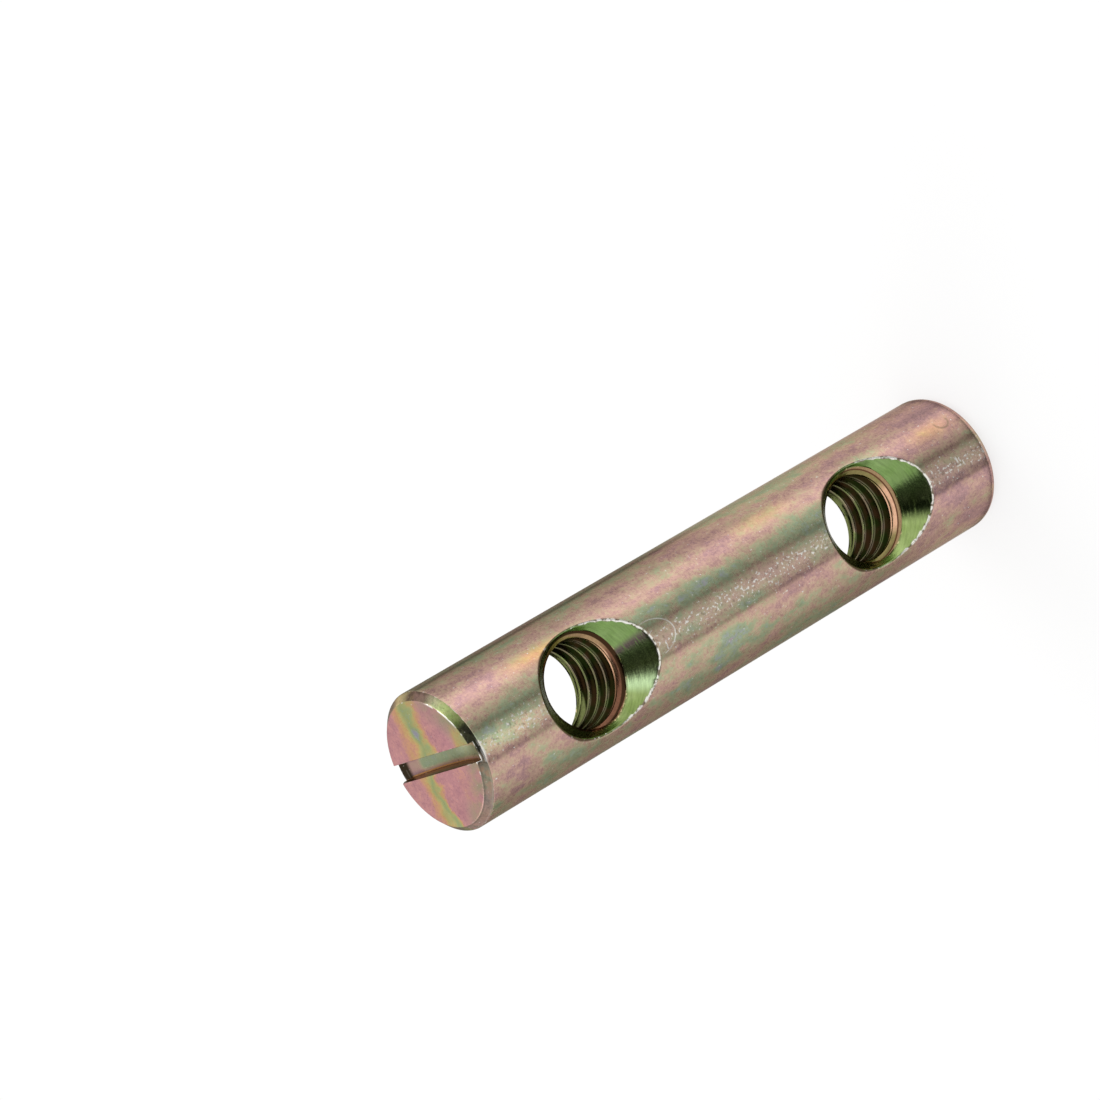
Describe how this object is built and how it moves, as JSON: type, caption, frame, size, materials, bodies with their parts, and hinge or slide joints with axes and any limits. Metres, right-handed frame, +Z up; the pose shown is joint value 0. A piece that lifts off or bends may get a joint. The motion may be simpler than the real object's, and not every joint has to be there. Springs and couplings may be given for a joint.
{
  "type": "cross dowel nut",
  "caption": "Slim cylindrical barrel nut in yellow passivated steel, with countersunk threaded cross holes and a screwdriver slot across one end.",
  "frame": {"origin": "centre of the plain end face, on which the dowel stands", "axes": "+Z up along the dowel to the slotted end, +X across the dowel, -Y towards the side from which the screws enter the threaded holes"},
  "size_m": [0.014, 0.014, 0.07],
  "materials": {
    "dowel": "turned steel, zinc plated with a yellow iridescent passivation in pink, olive green and gold"
  },
  "bodies": {
    "root": {"dowel": "dowel"}
  },
  "joints": []
}
